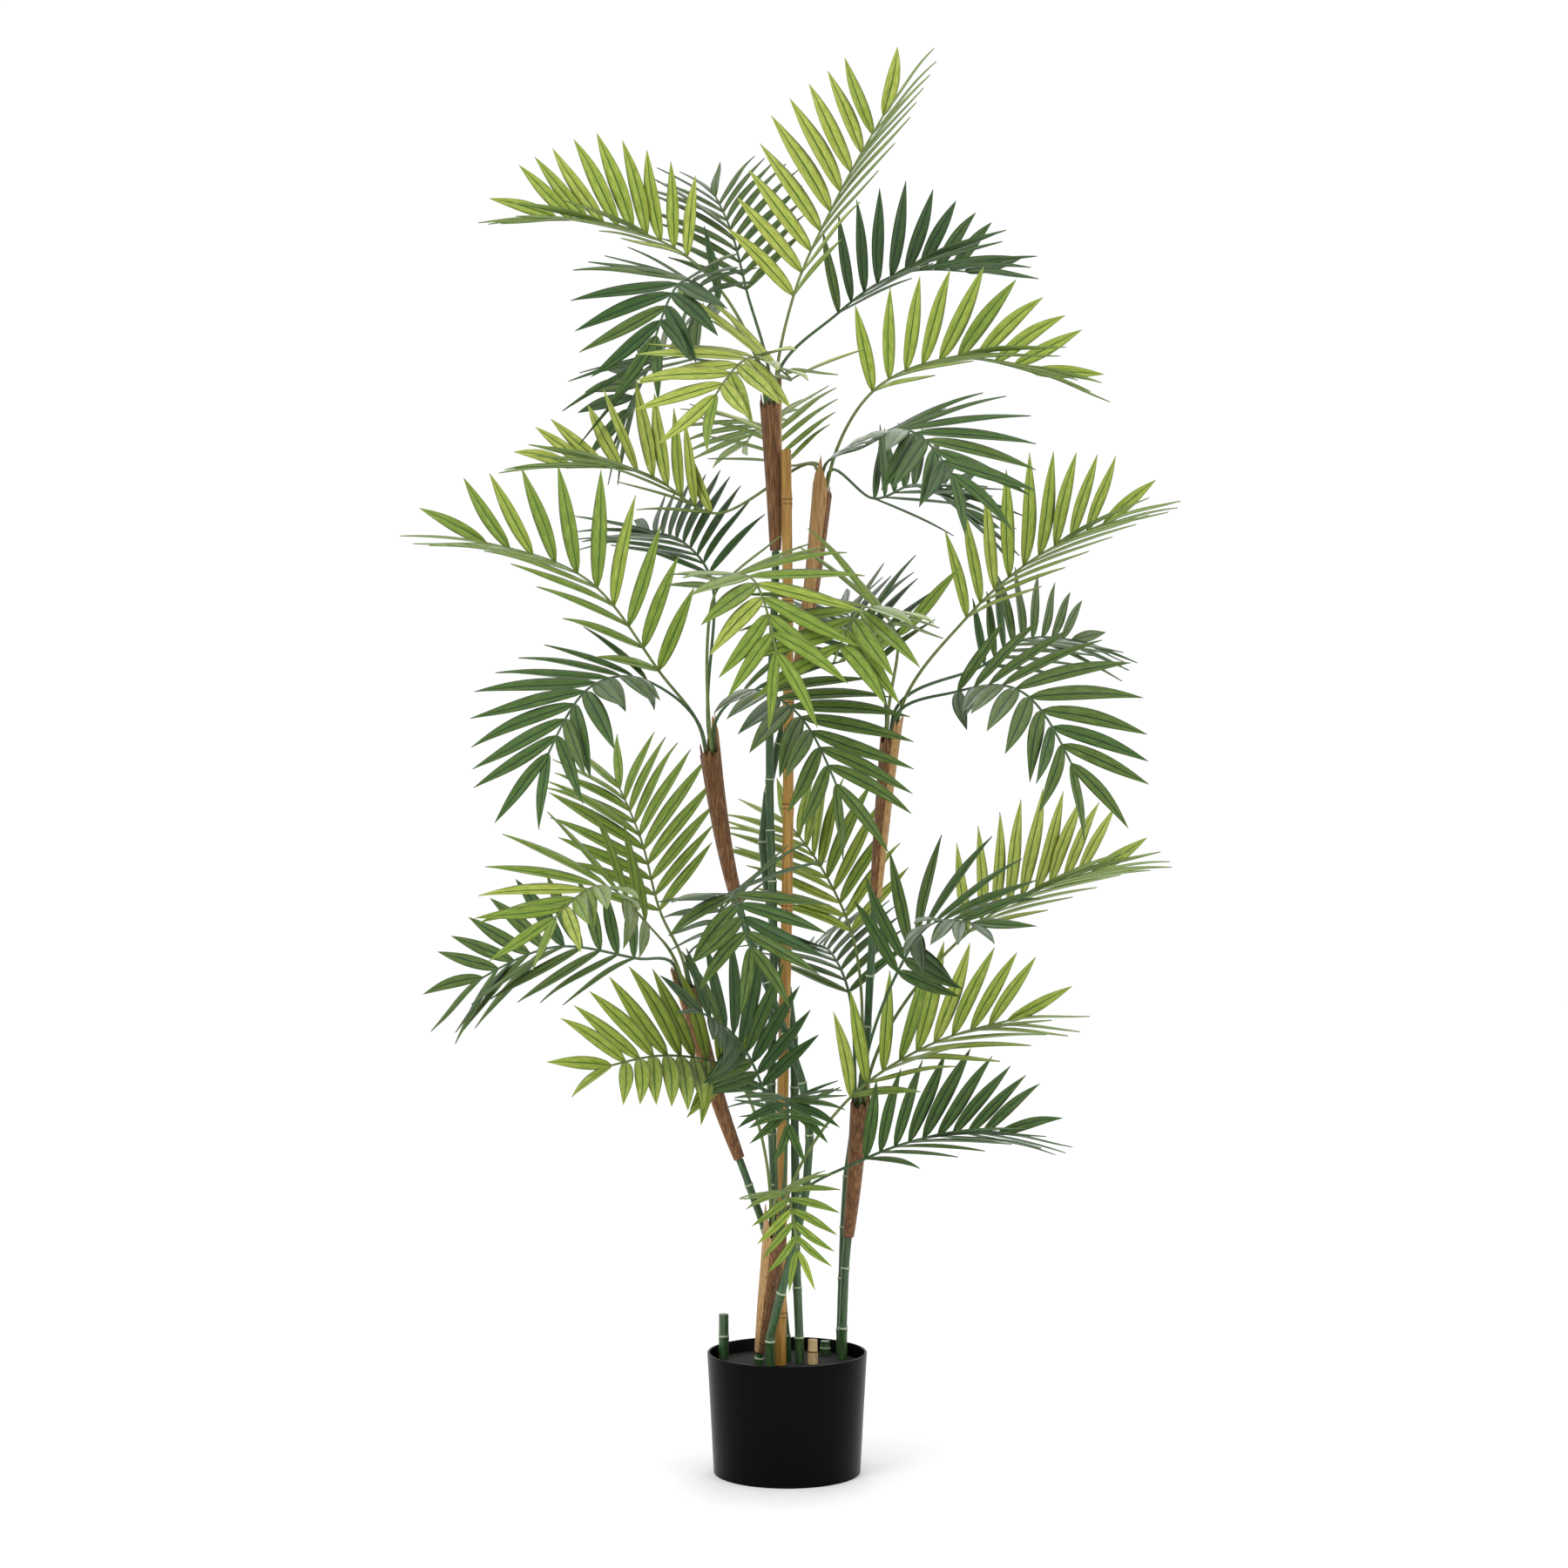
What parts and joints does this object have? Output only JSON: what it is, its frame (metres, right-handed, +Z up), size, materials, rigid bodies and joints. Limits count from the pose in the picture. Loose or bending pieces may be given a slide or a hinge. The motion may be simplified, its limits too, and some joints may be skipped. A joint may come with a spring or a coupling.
{
  "type": "artificial parlor palm in a pot",
  "caption": "Artificial parlor palm, 1.5 m tall, with light and dark feather fronds on slim stems beside a bamboo cane in a plain black pot.",
  "frame": {"origin": "centre of the pot's flat underside", "axes": "+Z up, +X to the right and -Y towards the viewer of the picture"},
  "size_m": [0.8313, 0.63, 1.501],
  "materials": {
    "pot": "satin black moulded plastic",
    "fill": "dark rough cast fill",
    "cane": "waxy bamboo",
    "stem": "green moulded plastic",
    "sheath": "brown palm fibre",
    "cut_cane": "raw cut bamboo",
    "light_leaf": "printed polyester, satin",
    "dark_leaf": "printed polyester, satin"
  },
  "bodies": {
    "root": {"pot": "pot", "fill": "fill", "cane": "cane", "stem_top": "stem", "sheath_top": "sheath", "stem_upper": "stem", "sheath_upper": "sheath", "stem_left": "stem", "sheath_left": "sheath", "stem_right": "stem", "sheath_right": "sheath", "stem_low_left": "stem", "sheath_low_left": "sheath", "stem_low_right": "stem", "sheath_low_right": "sheath", "stem_base": "stem", "sheath_base": "sheath", "stub_green_tall": "stem", "stub_cut_cane": "cut_cane", "stub_green_short": "stem", "frond_top_1": "light_leaf", "frond_top_2": "light_leaf", "frond_top_3": "dark_leaf", "frond_top_4": "dark_leaf", "frond_top_5": "dark_leaf", "frond_top_6": "light_leaf", "frond_top_7": "dark_leaf", "frond_upper_1": "light_leaf", "frond_upper_2": "dark_leaf", "frond_upper_3": "dark_leaf", "frond_upper_4": "light_leaf", "frond_upper_5": "light_leaf", "frond_left_1": "light_leaf", "frond_left_2": "light_leaf", "frond_left_3": "dark_leaf", "frond_left_4": "dark_leaf", "frond_left_5": "dark_leaf", "frond_right_1": "light_leaf", "frond_right_2": "light_leaf", "frond_right_3": "dark_leaf", "frond_right_4": "dark_leaf", "frond_right_5": "dark_leaf", "frond_low_left_1": "light_leaf", "frond_low_left_2": "light_leaf", "frond_low_left_3": "dark_leaf", "frond_low_left_4": "dark_leaf", "frond_low_right_1": "dark_leaf", "frond_low_right_2": "light_leaf", "frond_low_right_3": "light_leaf", "frond_low_right_4": "dark_leaf", "frond_base_1": "light_leaf", "frond_base_2": "light_leaf", "frond_base_3": "dark_leaf", "frond_base_4": "light_leaf", "frond_base_5": "dark_leaf", "frond_base_6": "dark_leaf"}
  },
  "joints": []
}
